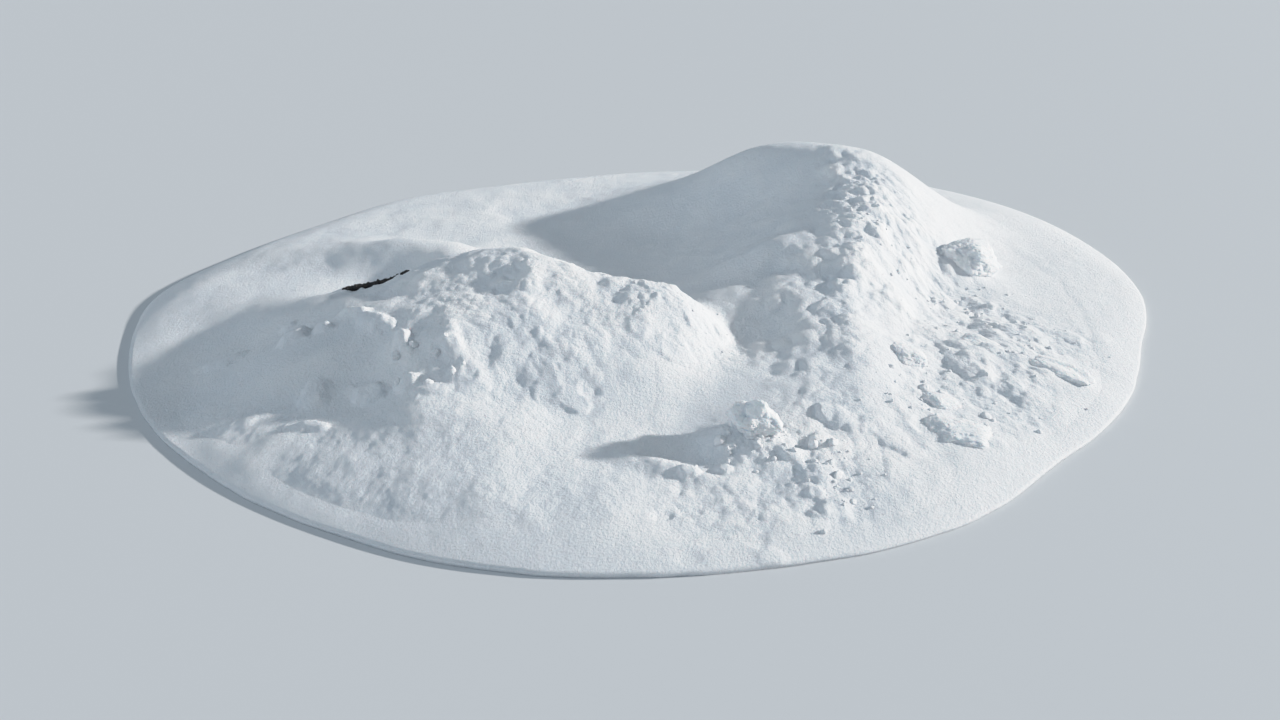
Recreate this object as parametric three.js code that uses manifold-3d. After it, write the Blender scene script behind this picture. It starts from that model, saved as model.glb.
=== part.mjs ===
// A snow pile: two mounds heaped on a thin, wide bed of snow, with loose clods
// lying on them and a short branch half sunk in the left mound.
// Millimetres, +Z up. The view from the front looks along +Y, with +X to the right.
import * as THREE from "three";
import { mergeVertices } from "three/addons/utils/BufferGeometryUtils.js";
import Module from "manifold-3d";

const wasm = await Module();
wasm.setup();

// ---- driving dimensions ----

// Distance from the middle of the bed to its edge, every 15 degrees from +X, anticlockwise.
const rimStepDegrees = 15;
const rimRadii = [
  2200, 2270, 2280, 2190, 2020, 1860, 1770, 1710, 1730, 1820, 1850, 1960,
  2110, 2090, 2060, 2010, 1980, 1980, 1960, 1960, 1970, 1940, 2000, 2060,
];
const edgeThickness = 12;     // the bed's upright edge all the way round
const bedRise = 62;           // how far the bed climbs above its edge
const bedRiseLength = 220;    // and over what distance
const moundFadeLength = 120;  // the mounds die out this close to the edge
const moundBlend = 50;        // softens the valley where the two mounds meet

// The tall mound's ridge runs front to back: y, crest x, height, width on the left and on the right.
const tallRidge = [
  [-1750, 600, 0, 320, 260],
  [-1500, 640, 30, 320, 260],
  [-1250, 700, 90, 520, 260],
  [-960, 760, 150, 620, 220],
  [-660, 760, 205, 660, 240],
  [-360, 840, 272, 620, 280],
  [0, 960, 350, 580, 320],
  [440, 960, 372, 560, 520],
  [750, 800, 400, 620, 600],
  [1000, 700, 300, 560, 520],
  [1250, 640, 130, 500, 500],
  [1500, 600, 30, 450, 450],
  [1700, 600, 0, 450, 450],
];

// The low mound's ridge runs left to right: x, crest y, height, width on the near and on the far side.
const lowRidge = [
  [-2020, -500, 0, 200, 400],
  [-1850, -490, 10, 200, 420],
  [-1600, -480, 48, 200, 400],
  [-1300, -520, 116, 220, 340],
  [-1050, -550, 178, 280, 320],
  [-800, -420, 262, 500, 360],
  [-560, -450, 308, 460, 340],
  [-380, -540, 298, 460, 300],
  [-200, -640, 268, 460, 270],
  [0, -690, 252, 420, 260],
  [160, -710, 238, 320, 230],
  [290, -720, 170, 250, 200],
  [380, -730, 75, 220, 180],
  [480, -740, 15, 200, 160],
  [600, -740, 0, 200, 160],
];
const flankPower = 1.9;       // 2 is a bell-shaped flank, less is sharper at the crest

// Swells (+) and hollows (-): x, y, height, half length, half width, turn in degrees.
const swells = [
  [1180, 620, 60, 300, 260, 0],
  [500, 840, 20, 180, 200, 0],
  [520, -200, 50, 160, 100, 0],
  [400, -760, -60, 170, 200, 60],
  [-500, -920, 75, 380, 200, 5],
  [-360, -1100, 40, 300, 140, 5],
  [-1100, -930, 100, 460, 240, 8],
  [-1200, -820, 30, 400, 140, 5],
  [-1840, -800, -40, 300, 460, 15],
  [-1660, -1240, -30, 220, 240, 30],
  [-1060, -330, 30, 200, 70, 14],
  [-980, 120, 130, 360, 170, -8],
  [-1350, 300, 35, 350, 200, 5],
  [120, -1080, 20, 250, 150, 0],
  [-620, -1320, 30, 450, 100, -6],
  [-950, -1480, 25, 220, 140, -15],
  [-100, -1680, 30, 200, 220, 0],
  [100, -1530, 25, 160, 40, -22],
  [360, -1420, 65, 160, 110, 0],
  [550, -1580, 22, 250, 140, 0],
  [1300, -850, 30, 300, 250, -40],
  [1450, -150, 30, 200, 250, 0],
  [-560, -1400, 45, 450, 260, -58],
  [290, -500, 35, 140, 140, 0],
  [-1150, -1180, -25, 300, 120, 5],
  [-1520, -980, -35, 280, 160, -10],
  [-600, -1040, 45, 200, 170, 5],
  [-260, -780, -30, 160, 140, 0],
  [80, -800, 28, 140, 130, 0],
];

// Lumps frozen to the mounds: x, y, height, half length, half width, turn in degrees.
const lumps = [
  [-1270, -800, 27, 75, 50, 10],
  [-1580, -750, 13, 120, 45, 6],
  [-950, -850, 20, 110, 45, -42],
  [-1120, -1120, 17, 60, 55, 0],
  [-920, -1150, 19, 75, 55, -20],
  [-700, -1000, 16, 75, 65, 0],
  [-570, -1150, 17, 85, 75, -30],
  [-380, -940, 12, 60, 100, 20],
  [-320, -1150, 13, 65, 90, 15],
  [-220, -1210, 18, 85, 60, 0],
  [-150, -980, 9, 55, 95, 12],
  [-70, -570, 14, 115, 75, -10],
  [70, -710, 13, 95, 75, -25],
  [190, -800, 10, 75, 70, 0],
  [120, -980, 9, 75, 65, 0],
  [1300, -310, 15, 110, 50, -35],
  [1410, -330, 22, 90, 65, -20],
  [1100, -250, 21, 90, 55, -15],
  [1070, 270, 13, 95, 70, -20],
  [1110, -60, 15, 90, 70, -20],
  [1000, -500, 22, 95, 80, -30],
  [1130, -620, 17, 75, 60, 0],
  [1510, -550, 27, 105, 90, -10],
  [1680, -540, 22, 75, 65, 0],
  [1800, -520, 13, 70, 45, -35],
  [810, -1370, 15, 120, 55, -30],
  [560, -1555, 12, 75, 45, -8],
  [590, -1690, 12, 55, 55, 0],
];

// Roughness of the whole bed, and of the broken snow in the rubble fields.
const rollSize = 550;         // the widest rolls of the surface
const rollHeight = 13;
const rubbleSize = 200;       // the largest rubble
const rubbleHeight = 16;

// Rubble fields: x, y, strength, half length, half width, turn in degrees.
const rubbleFields = [
  [1180, -350, 1, 380, 850, 8],
  [150, -740, 0.5, 260, 240, 0],
  [-380, -880, 0.35, 400, 360, 10],
  [470, -1540, 0.5, 420, 230, 8],
];

// The mesh of the bed: a square grid wrapped onto the outline, gathered towards the rubble.
const gridSteps = 58;
const gridHeart = [600, -450];

// Loose clods. Sizes are half lengths along the clod's own axes; lift is its middle above the snow.
const seatGap = 0.4;
const clods = [
  { name: "upper_chunk", place: [1420, 0], size: [135, 112, 100], lift: 38, turn: 24, tilt: 12, seed: 3 },
  { name: "front_clod", place: [360, -1390], size: [86, 64, 56], lift: 26, turn: -12, tilt: 6, seed: 8 },
  { name: "low_slab", place: [1060, -1300], size: [150, 100, 52], lift: 6, turn: 6, tilt: 6, seed: 5 },
  { name: "right_clod", place: [1540, -850], size: [132, 74, 36], lift: 4, turn: -30, tilt: 8, seed: 12 },
  { name: "middle_slab", place: [1270, -710], size: [120, 76, 36], lift: 5, turn: -28, tilt: 4, seed: 17 },
  { name: "inner_clod", place: [955, -880], size: [86, 70, 40], lift: 6, turn: -20, tilt: 18, seed: 21 },
  { name: "small_clod", place: [1030, -1125], size: [80, 56, 34], lift: 6, turn: -15, tilt: 10, seed: 26 },
];
const clodFacets = 12;        // flat breaks on each clod
const fineClodHeight = 55;    // clods with a half height above this are meshed more finely
const facetCrispness = 10;    // the higher, the sharper the edges between them
const clodRoughness = 0.02;

// The branch: x, y along its middle line, from its left end; it lies level with the snow.
const branchRoute = [
  [-1200, -365],
  [-1150, -350],
  [-1090, -330],
  [-1030, -312],
  [-980, -305],
  [-930, -305],
];
const branchRadius = 13;
const branchSides = 8;
const branchSteps = 14;

// ---- the form of the snow ----

function smoothstep(value) {
  const t = THREE.MathUtils.clamp(value, 0, 1);
  return t * t * (3 - 2 * t);
}

// A smooth curve through equally spaced values that close on themselves.
function rimRadius(x, y) {
  const turns = (THREE.MathUtils.radToDeg(Math.atan2(y, x)) + 360) % 360;
  const along = turns / rimStepDegrees;
  const i = Math.floor(along);
  const t = along - i;
  const [a, b, c, d] = [-1, 0, 1, 2].map((k) => rimRadii[(i + k + rimRadii.length) % rimRadii.length]);
  return b + 0.5 * t * (c - a + t * (2 * a - 5 * b + 4 * c - d + t * (3 * (b - c) + d - a)));
}

// Smooth curve through one column of a table whose first column is the distance along.
function station(table, along, column) {
  const last = table.length - 1;
  const s = THREE.MathUtils.clamp(along, table[0][0], table[last][0]);
  let i = 0;
  while (i < last - 1 && table[i + 1][0] <= s) i++;
  const slope = (k) => {
    const before = Math.max(k - 1, 0);
    const after = Math.min(k + 1, last);
    return (table[after][column] - table[before][column]) / (table[after][0] - table[before][0]);
  };
  const width = table[i + 1][0] - table[i][0];
  const t = (s - table[i][0]) / width;
  return table[i][column] * (1 + 2 * t) * (1 - t) ** 2
    + table[i + 1][column] * t * t * (3 - 2 * t)
    + width * t * (1 - t) * (slope(i) * (1 - t) - slope(i + 1) * t);
}

function ridgeHeight(table, along, across) {
  const offset = across - station(table, along, 1);
  const width = station(table, along, offset < 0 ? 3 : 4);
  return station(table, along, 2) * Math.exp(-((Math.abs(offset) / width) ** flankPower));
}

// Distance from a feature's middle in its own turned axes, 1 at its half length and half width.
function ownDistance(x, y, feature) {
  const [cx, cy, , halfLength, halfWidth, turn] = feature;
  const angle = THREE.MathUtils.degToRad(turn);
  const along = ((x - cx) * Math.cos(angle) + (y - cy) * Math.sin(angle)) / halfLength;
  const across = ((y - cy) * Math.cos(angle) - (x - cx) * Math.sin(angle)) / halfWidth;
  return Math.hypot(along, across);
}

function softMaximum(a, b, blend) {
  const share = THREE.MathUtils.clamp(0.5 + (0.5 * (a - b)) / blend, 0, 1);
  return b + (a - b) * share + blend * share * (1 - share);
}

// Random value from -1 to 1 that belongs to a whole-number place.
function latticeValue(i, j, seed) {
  const wave = Math.sin(i * 127.1 + j * 311.7 + seed * 74.7) * 43758.5453;
  return (wave - Math.floor(wave)) * 2 - 1;
}

// Lattice values joined by a smooth surface.
function noise(x, y, cell, seed) {
  const i = Math.floor(x / cell);
  const j = Math.floor(y / cell);
  const fade = (t) => t * t * t * (t * (6 * t - 15) + 10);
  const a = fade(x / cell - i);
  const b = fade(y / cell - j);
  const near = THREE.MathUtils.lerp(latticeValue(i, j, seed), latticeValue(i + 1, j, seed), a);
  const far = THREE.MathUtils.lerp(latticeValue(i, j + 1, seed), latticeValue(i + 1, j + 1, seed), a);
  return THREE.MathUtils.lerp(near, far, b);
}

// Noise at halving sizes and heights, each layer turned against the last.
function layeredNoise(x, y, cell, seed, layers, shape = (value) => value) {
  let sum = 0;
  for (let k = 0; k < layers; k++) {
    const c = Math.cos(0.65 * k);
    const s = Math.sin(0.65 * k);
    sum += 0.5 ** k * shape(noise(x * c + y * s, y * c - x * s, cell / 2 ** k, seed + k));
  }
  return sum;
}

// Rounded lumps with sharp creases between them.
const billow = (value) => Math.abs(value) * 2 - 0.75;

function snowHeight(x, y) {
  const inside = Math.max(rimRadius(x, y) - Math.hypot(x, y), 0);
  let mounds = softMaximum(ridgeHeight(tallRidge, y, x), ridgeHeight(lowRidge, x, y), moundBlend);
  for (const swell of swells) mounds += swell[2] * Math.exp(-(ownDistance(x, y, swell) ** 2));
  let height = mounds * (1 - Math.exp(-inside / moundFadeLength));
  height += edgeThickness + bedRise * (1 - Math.exp(-inside / bedRiseLength));
  const field = rubbleFields.reduce((sum, f) => sum + f[2] * Math.exp(-(ownDistance(x, y, f) ** 4)), 0);
  const clear = smoothstep(inside / 250);
  height += clear * rollHeight * layeredNoise(x, y, rollSize, 11, 2);
  height += clear * rubbleHeight * Math.min(field, 1) * layeredNoise(x, y, rubbleSize, 31, 2, billow);
  for (const lump of lumps) height += lump[2] * (1 - smoothstep((ownDistance(x, y, lump) - 0.3) / 0.9));
  return height;
}

// ---- solids ----

function solidFrom(geometry) {
  const bare = geometry.clone();
  bare.deleteAttribute("normal");
  bare.deleteAttribute("uv");
  const merged = mergeVertices(bare, 1e-3);
  return new wasm.Manifold(new wasm.Mesh({
    numProp: 3,
    vertProperties: new Float32Array(merged.attributes.position.array),
    triVerts: new Uint32Array(merged.index.array),
  }));
}

function geometryFrom(solid) {
  const mesh = solid.getMesh();
  const geometry = new THREE.BufferGeometry();
  geometry.setAttribute("position", new THREE.BufferAttribute(mesh.vertProperties, 3));
  geometry.setIndex(new THREE.BufferAttribute(mesh.triVerts, 1));
  geometry.computeVertexNormals();
  return geometry;
}

// The square's shells become rings about the heart, the outermost lying on the rim.
function bedPoint(u, v) {
  const ring = Math.max(Math.abs(u), Math.abs(v));
  if (ring === 0) return [...gridHeart];
  const sideways = Math.abs(u) >= Math.abs(v);
  let angle = sideways ? (Math.PI / 4) * (v / u) : Math.PI / 2 - (Math.PI / 4) * (u / v);
  if ((sideways ? u : v) < 0) angle += Math.PI;
  const reach = rimRadius(Math.cos(angle), Math.sin(angle));
  return [
    gridHeart[0] + ring * (reach * Math.cos(angle) - gridHeart[0]),
    gridHeart[1] + ring * (reach * Math.sin(angle) - gridHeart[1]),
  ];
}

function bedGeometry() {
  const across = gridSteps + 1;
  const half = gridSteps / 2;
  const positions = [];
  const triangles = [];
  for (let j = 0; j < across; j++) {
    for (let i = 0; i < across; i++) {
      const [x, y] = bedPoint((2 * i) / gridSteps - 1, (2 * j) / gridSteps - 1);
      positions.push(x, y, snowHeight(x, y));
    }
  }
  for (let j = 0; j < gridSteps; j++) {
    for (let i = 0; i < gridSteps; i++) {
      const a = j * across + i;
      const b = a + 1;
      const c = b + across;
      const d = a + across;
      // Every cell is parted along the diagonal that points away from the heart.
      if (i < half === j < half) triangles.push(a, b, c, a, c, d);
      else triangles.push(a, b, d, b, c, d);
    }
  }
  // Round the rim anticlockwise, then straight down to the ground and in to the middle.
  const rim = [];
  for (let k = 0; k < gridSteps; k++) rim.push(k);
  for (let k = 0; k < gridSteps; k++) rim.push(k * across + gridSteps);
  for (let k = gridSteps; k > 0; k--) rim.push(gridSteps * across + k);
  for (let k = gridSteps; k > 0; k--) rim.push(k * across);
  const firstFoot = positions.length / 3;
  for (const top of rim) positions.push(positions[3 * top], positions[3 * top + 1], 0);
  const middle = positions.length / 3;
  positions.push(gridHeart[0], gridHeart[1], 0);
  rim.forEach((top, k) => {
    const next = (k + 1) % rim.length;
    triangles.push(top, firstFoot + k, firstFoot + next, top, firstFoot + next, rim[next]);
    triangles.push(middle, firstFoot + next, firstFoot + k);
  });
  const geometry = new THREE.BufferGeometry();
  geometry.setAttribute("position", new THREE.Float32BufferAttribute(positions, 3));
  geometry.setIndex(triangles);
  return geometry;
}

// A ball cut back by flat breaks spread round it. The cuts are joined softly, as the sum of
// each one's nearness raised to a power, and a slight wave roughens the whole.
function clodGeometry({ place, size, lift, turn, tilt, seed }) {
  const ball = new THREE.IcosahedronGeometry(1, size[2] > fineClodHeight ? 3 : 2);
  const point = new THREE.Vector3();
  const breaks = Array.from({ length: clodFacets }, (_, k) => {
    const up = 1 - (2 * (k + 0.5)) / clodFacets;
    const round = 2.4 * k + seed;
    const level = Math.sqrt(1 - up * up);
    return {
      facing: new THREE.Vector3(level * Math.cos(round), level * Math.sin(round), up),
      distance: 0.88 + 0.14 * latticeValue(k, 0, seed),
    };
  });
  const positions = ball.attributes.position;
  for (let k = 0; k < positions.count; k++) {
    point.fromBufferAttribute(positions, k).normalize();
    const nearness = breaks.reduce(
      (sum, { facing, distance }) => sum + Math.max(point.dot(facing) / distance, 0) ** facetCrispness, 0);
    const reach = nearness ** (-1 / facetCrispness);
    const wave = Math.sin(6 * point.x + seed) + Math.sin(7 * point.y + 2 * seed) + Math.sin(8 * point.z + 3 * seed);
    point.multiplyScalar(reach * (1 + clodRoughness * wave));
    positions.setXYZ(k, point.x * size[0], point.y * size[1], point.z * size[2]);
  }
  ball.rotateY(THREE.MathUtils.degToRad(tilt));
  ball.rotateZ(THREE.MathUtils.degToRad(turn));
  ball.translate(place[0], place[1], snowHeight(...place) + lift);
  return ball;
}

function branchGeometry(radius, stretch = 0) {
  const middle = branchRoute.map(([x, y]) => new THREE.Vector3(x, y, snowHeight(x, y)));
  const ends = [middle[0], middle[middle.length - 1]];
  const heading = ends[1].clone().sub(ends[0]).normalize();
  ends[0].addScaledVector(heading, -stretch);
  ends[1].addScaledVector(heading, stretch);
  const section = new THREE.Shape();
  for (let k = 0; k < branchSides; k++) {
    const angle = (2 * Math.PI * k) / branchSides;
    const [u, v] = [radius * Math.cos(angle), radius * Math.sin(angle)];
    if (k) section.lineTo(u, v);
    else section.moveTo(u, v);
  }
  return new THREE.ExtrudeGeometry(section, {
    extrudePath: new THREE.CatmullRomCurve3(middle),
    steps: branchSteps,
    bevelEnabled: false,
  });
}

// ---- assembly ----

const snowWhite = { color: 0xeef3f7, roughness: 0.75, metalness: 0 };
const barkBrown = { color: 0x2c2620, roughness: 0.9, metalness: 0 };

function namedMesh(name, geometry, finish) {
  const mesh = new THREE.Mesh(geometry, new THREE.MeshStandardMaterial(finish));
  mesh.name = name;
  return mesh;
}

const pile = new THREE.Group();

const groove = solidFrom(branchGeometry(branchRadius + seatGap, seatGap));
const snow = solidFrom(bedGeometry()).subtract(groove);
pile.add(namedMesh("snow_pile", geometryFrom(snow), snowWhite));
pile.add(namedMesh("buried_branch", branchGeometry(branchRadius), barkBrown));

// Each clod's underside is pressed to the shape of the snow it lies on.
const seat = snow.translate([0, 0, seatGap]);
for (const clod of clods) {
  const pieces = solidFrom(clodGeometry(clod)).subtract(seat).decompose();
  const largest = pieces.reduce((best, piece) => (piece.volume() > best.volume() ? piece : best));
  pile.add(namedMesh(clod.name, geometryFrom(largest), snowWhite));
}

// The origin is on the ground, under the middle of the footprint.
const bounds = new THREE.Box3().setFromObject(pile);
const centre = bounds.getCenter(new THREE.Vector3());
pile.position.set(-centre.x, -centre.y, 0);

export default pile;
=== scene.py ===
# A heap of ploughed snow: two mounds on a thin bed, rubble and loose clods on the
# slopes, and a short branch half sunk in the low mound. Metres, +Z up, front towards -Y.
import math

import bpy
import numpy as np
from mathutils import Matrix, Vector


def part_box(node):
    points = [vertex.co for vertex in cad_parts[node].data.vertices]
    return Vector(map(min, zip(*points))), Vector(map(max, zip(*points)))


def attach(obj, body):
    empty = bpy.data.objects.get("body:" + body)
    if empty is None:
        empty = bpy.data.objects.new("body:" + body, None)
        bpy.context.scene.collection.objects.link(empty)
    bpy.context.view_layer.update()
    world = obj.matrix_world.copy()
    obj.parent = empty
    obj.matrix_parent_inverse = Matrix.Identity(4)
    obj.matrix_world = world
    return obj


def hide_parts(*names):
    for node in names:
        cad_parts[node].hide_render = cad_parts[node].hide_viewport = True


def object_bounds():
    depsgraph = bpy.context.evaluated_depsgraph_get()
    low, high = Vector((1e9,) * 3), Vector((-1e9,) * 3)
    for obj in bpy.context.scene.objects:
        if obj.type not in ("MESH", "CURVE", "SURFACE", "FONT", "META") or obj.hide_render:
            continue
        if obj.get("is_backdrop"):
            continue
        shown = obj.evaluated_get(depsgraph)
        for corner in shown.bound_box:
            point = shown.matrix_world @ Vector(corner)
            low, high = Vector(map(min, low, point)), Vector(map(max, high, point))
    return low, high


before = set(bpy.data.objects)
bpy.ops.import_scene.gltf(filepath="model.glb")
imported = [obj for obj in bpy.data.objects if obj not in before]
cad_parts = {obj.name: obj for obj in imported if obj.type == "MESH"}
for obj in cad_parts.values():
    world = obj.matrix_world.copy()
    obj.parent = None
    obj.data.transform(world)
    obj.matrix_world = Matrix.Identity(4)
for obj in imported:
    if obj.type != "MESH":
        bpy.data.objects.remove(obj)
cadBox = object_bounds()

# Bed: outline as distances from the middle every rimStep degrees, and how it climbs inwards. From
# the rim, the mounds fade in over fadeLength, rolls and rubble over unevenBorder, and the texture
# over textureBorder.
bed = {
    "rimStep": 15,
    "rim": [2.20, 2.27, 2.28, 2.19, 2.02, 1.86, 1.77, 1.71, 1.73, 1.82, 1.85, 1.96,
            2.11, 2.09, 2.06, 2.01, 1.98, 1.98, 1.96, 1.96, 1.97, 1.94, 2.00, 2.06],
    "edge": 0.012,
    "rise": 0.062,
    "riseLength": 0.22,
    "fadeLength": 0.12,
    "unevenBorder": 0.25,
    "textureBorder": 0.12,
    "cells": 308,
    "heart": (0.60, -0.45),    # where the grid's cells are smallest
    "raggedness": 0.008,       # depth of the broken rim, the size of its breaks, and the mean radius
    "raggedSize": 0.25,
    "meanRadius": 2.1,
}

# Mounds: stations along a ridge. Tall: y, crest x, height, left width, right width.
# Low: x, crest y, height, near width, far width.
mounds = {
    "tall": [
        (-1.75, 0.60, 0.000, 0.32, 0.26), (-1.50, 0.64, 0.030, 0.32, 0.26),
        (-1.25, 0.70, 0.090, 0.52, 0.26), (-0.96, 0.76, 0.150, 0.62, 0.22),
        (-0.66, 0.76, 0.205, 0.66, 0.24), (-0.36, 0.84, 0.272, 0.62, 0.28),
        (0.00, 0.96, 0.350, 0.58, 0.32), (0.44, 0.96, 0.372, 0.56, 0.52),
        (0.75, 0.80, 0.400, 0.62, 0.60), (1.00, 0.70, 0.300, 0.56, 0.52),
        (1.25, 0.64, 0.130, 0.50, 0.50), (1.50, 0.60, 0.030, 0.45, 0.45),
        (1.70, 0.60, 0.000, 0.45, 0.45)],
    "low": [
        (-2.02, -0.50, 0.000, 0.20, 0.40), (-1.85, -0.49, 0.010, 0.20, 0.42),
        (-1.60, -0.48, 0.048, 0.20, 0.40), (-1.30, -0.52, 0.116, 0.22, 0.34),
        (-1.05, -0.55, 0.178, 0.28, 0.32), (-0.80, -0.42, 0.262, 0.50, 0.36),
        (-0.56, -0.45, 0.308, 0.46, 0.34), (-0.38, -0.54, 0.298, 0.46, 0.30),
        (-0.20, -0.64, 0.268, 0.46, 0.27), (0.00, -0.69, 0.252, 0.42, 0.26),
        (0.16, -0.71, 0.238, 0.32, 0.23), (0.29, -0.72, 0.170, 0.25, 0.20),
        (0.38, -0.73, 0.075, 0.22, 0.18), (0.48, -0.74, 0.015, 0.20, 0.16),
        (0.60, -0.74, 0.000, 0.20, 0.16)],
    "flankPower": 1.9,
    "blend": 0.05,
}

# Swells and hollows: x, y, height, half length, half width, turn in degrees.
swells = [
    (1.18, 0.62, 0.060, 0.30, 0.26, 0), (0.50, 0.84, 0.020, 0.18, 0.20, 0),
    (0.52, -0.20, 0.050, 0.16, 0.10, 0), (0.40, -0.76, -0.060, 0.17, 0.20, 60),
    (-0.50, -0.92, 0.075, 0.38, 0.20, 5), (-0.36, -1.10, 0.040, 0.30, 0.14, 5),
    (-1.10, -0.93, 0.100, 0.46, 0.24, 8), (-1.20, -0.82, 0.030, 0.40, 0.14, 5),
    (-1.84, -0.80, -0.040, 0.30, 0.46, 15), (-1.66, -1.24, -0.030, 0.22, 0.24, 30),
    (-1.06, -0.33, 0.030, 0.20, 0.07, 14), (-0.98, 0.12, 0.130, 0.36, 0.17, -8),
    (-1.35, 0.30, 0.035, 0.35, 0.20, 5), (0.12, -1.08, 0.020, 0.25, 0.15, 0),
    (-0.62, -1.32, 0.030, 0.45, 0.10, -6), (-0.95, -1.48, 0.025, 0.22, 0.14, -15),
    (-0.10, -1.68, 0.030, 0.20, 0.22, 0), (0.10, -1.53, 0.025, 0.16, 0.04, -22),
    (0.36, -1.42, 0.065, 0.16, 0.11, 0), (0.55, -1.58, 0.022, 0.25, 0.14, 0),
    (1.30, -0.85, 0.030, 0.30, 0.25, -40), (1.45, -0.15, 0.030, 0.20, 0.25, 0),
    (-0.56, -1.40, 0.045, 0.45, 0.26, -58), (0.29, -0.50, 0.035, 0.14, 0.14, 0),
    (-1.15, -1.18, -0.025, 0.30, 0.12, 5), (-1.52, -0.98, -0.035, 0.28, 0.16, -10),
    (-0.60, -1.04, 0.045, 0.20, 0.17, 5), (-0.26, -0.78, -0.030, 0.16, 0.14, 0),
    (0.08, -0.80, 0.028, 0.14, 0.13, 0),
]

# Lumps frozen on: x, y, height, half length, half width, turn in degrees.
lumps = [
    (-1.27, -0.80, 0.027, 0.075, 0.05, 10), (-1.58, -0.75, 0.013, 0.12, 0.045, 6),
    (-0.95, -0.85, 0.020, 0.11, 0.045, -42), (-1.12, -1.12, 0.017, 0.06, 0.055, 0),
    (-0.92, -1.15, 0.019, 0.075, 0.055, -20), (-0.70, -1.00, 0.009, 0.075, 0.065, 0),
    (-0.57, -1.15, 0.009, 0.085, 0.075, -30), (-0.38, -0.94, 0.006, 0.06, 0.10, 20),
    (-0.32, -1.15, 0.006, 0.065, 0.09, 15), (-0.22, -1.21, 0.009, 0.085, 0.06, 0),
    (-0.15, -0.98, 0.005, 0.055, 0.095, 12), (-0.07, -0.57, 0.009, 0.115, 0.075, -10),
    (0.07, -0.71, 0.008, 0.095, 0.075, -25), (0.19, -0.80, 0.010, 0.075, 0.07, 0),
    (0.12, -0.98, 0.009, 0.075, 0.065, 0), (1.30, -0.31, 0.015, 0.11, 0.05, -35),
    (1.41, -0.33, 0.022, 0.09, 0.065, -20), (1.10, -0.25, 0.021, 0.09, 0.055, -15),
    (1.07, 0.27, 0.013, 0.095, 0.07, -20), (1.11, -0.06, 0.015, 0.09, 0.07, -20),
    (1.00, -0.50, 0.022, 0.095, 0.08, -30), (1.13, -0.62, 0.017, 0.075, 0.06, 0),
    (1.51, -0.55, 0.027, 0.105, 0.09, -10), (1.68, -0.54, 0.022, 0.075, 0.065, 0),
    (1.80, -0.52, 0.013, 0.07, 0.045, -35), (0.81, -1.37, 0.008, 0.12, 0.055, -30),
    (0.56, -1.555, 0.012, 0.075, 0.045, -8), (0.59, -1.69, 0.012, 0.055, 0.055, 0),
]

# Rubble fields: x, y, strength, half length, half width, turn in degrees.
rubbleFields = [
    (1.18, -0.35, 1.0, 0.38, 0.85, 8), (0.15, -0.74, 0.5, 0.26, 0.24, 0),
    (-0.38, -0.88, 0.35, 0.40, 0.36, 10), (0.47, -1.54, 0.5, 0.42, 0.23, 8),
]
unevenness = {"rollSize": 0.55, "rollHeight": 0.013, "rubbleSize": 0.20, "rubbleHeight": 0.010}

# Where each kind of unevenness starts in the random lattice.
seeds = {"rolls": 11, "rubble": 31, "steps": 401, "rim": 501, "crustBorder": 521}


def smoothstep(value):
    t = np.clip(value, 0, 1)
    return t * t * (3 - 2 * t)


def cosSin(degrees):
    return math.cos(math.radians(degrees)), math.sin(math.radians(degrees))


def curveThrough(a, b, c, d, t):
    # the cubic from b to c that leaves b along c - a and reaches c along d - b
    return b + 0.5 * t * (c - a + t * (2 * a - 5 * b + 4 * c - d + t * (3 * (b - c) + d - a)))


def rimRadius(x, y):
    # smooth curve through the equally spaced rim distances, closed on itself
    rim = np.array(bed["rim"])
    along = (np.degrees(np.arctan2(y, x)) % 360) / bed["rimStep"]
    i = np.floor(along).astype(int)
    return curveThrough(*(rim[(i + k) % len(rim)] for k in (-1, 0, 1, 2)), along - i)


def station(table, along, column):
    # smooth curve through one column of a table whose first column is the distance along: a cubic
    # between each two rows, whose slope at a row is that of the line between its neighbours
    s = np.array([row[0] for row in table])
    v = np.array([row[column] for row in table])
    ends = ((v[1] - v[0]) / (s[1] - s[0]), (v[-1] - v[-2]) / (s[-1] - s[-2]))
    slope = np.concatenate([[ends[0]], (v[2:] - v[:-2]) / (s[2:] - s[:-2]), [ends[1]]])
    q = np.clip(along, s[0], s[-1])
    i = np.clip(np.searchsorted(s, q, side="right") - 1, 0, len(s) - 2)
    width = s[i + 1] - s[i]
    t = (q - s[i]) / width
    return (v[i] * (1 + 2 * t) * (1 - t) ** 2 + v[i + 1] * t * t * (3 - 2 * t)
            + width * t * (1 - t) * (slope[i] * (1 - t) - slope[i + 1] * t))


def ridgeHeight(table, along, across):
    # height falls away from the crest as a bell, with its own width on each side
    offset = across - station(table, along, 1)
    width = np.where(offset < 0, station(table, along, 3), station(table, along, 4))
    return station(table, along, 2) * np.exp(-(np.abs(offset) / width) ** mounds["flankPower"])


def ownAxes(x, y, cx, cy, halfLength, halfWidth, turn):
    # a place in a feature's own turned axes, which are 1 at its half length and half width
    c, s = cosSin(turn)
    return ((x - cx) * c + (y - cy) * s) / halfLength, ((y - cy) * c - (x - cx) * s) / halfWidth


def ownDistance(x, y, feature):
    return np.hypot(*ownAxes(x, y, *feature[:2], *feature[3:]))


def fieldStrength(x, y, fields):
    # flat in the middle of each field and falling at its border: exp(-distance^4)
    return sum(f[2] * np.exp(-ownDistance(x, y, f) ** 4) for f in fields)


def softMaximum(a, b, blend):
    # the greater of the two, rounded where they are within blend of each other
    share = np.clip(0.5 + 0.5 * (a - b) / blend, 0, 1)
    return b + (a - b) * share + blend * share * (1 - share)


def latticeValue(i, j, seed):
    # random value from -1 to 1 that belongs to a whole-number place: the far digits of a sine
    wave = np.sin(i * 127.1 + j * 311.7 + seed * 74.7) * 43758.5453
    return (wave - np.floor(wave)) * 2 - 1


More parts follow.
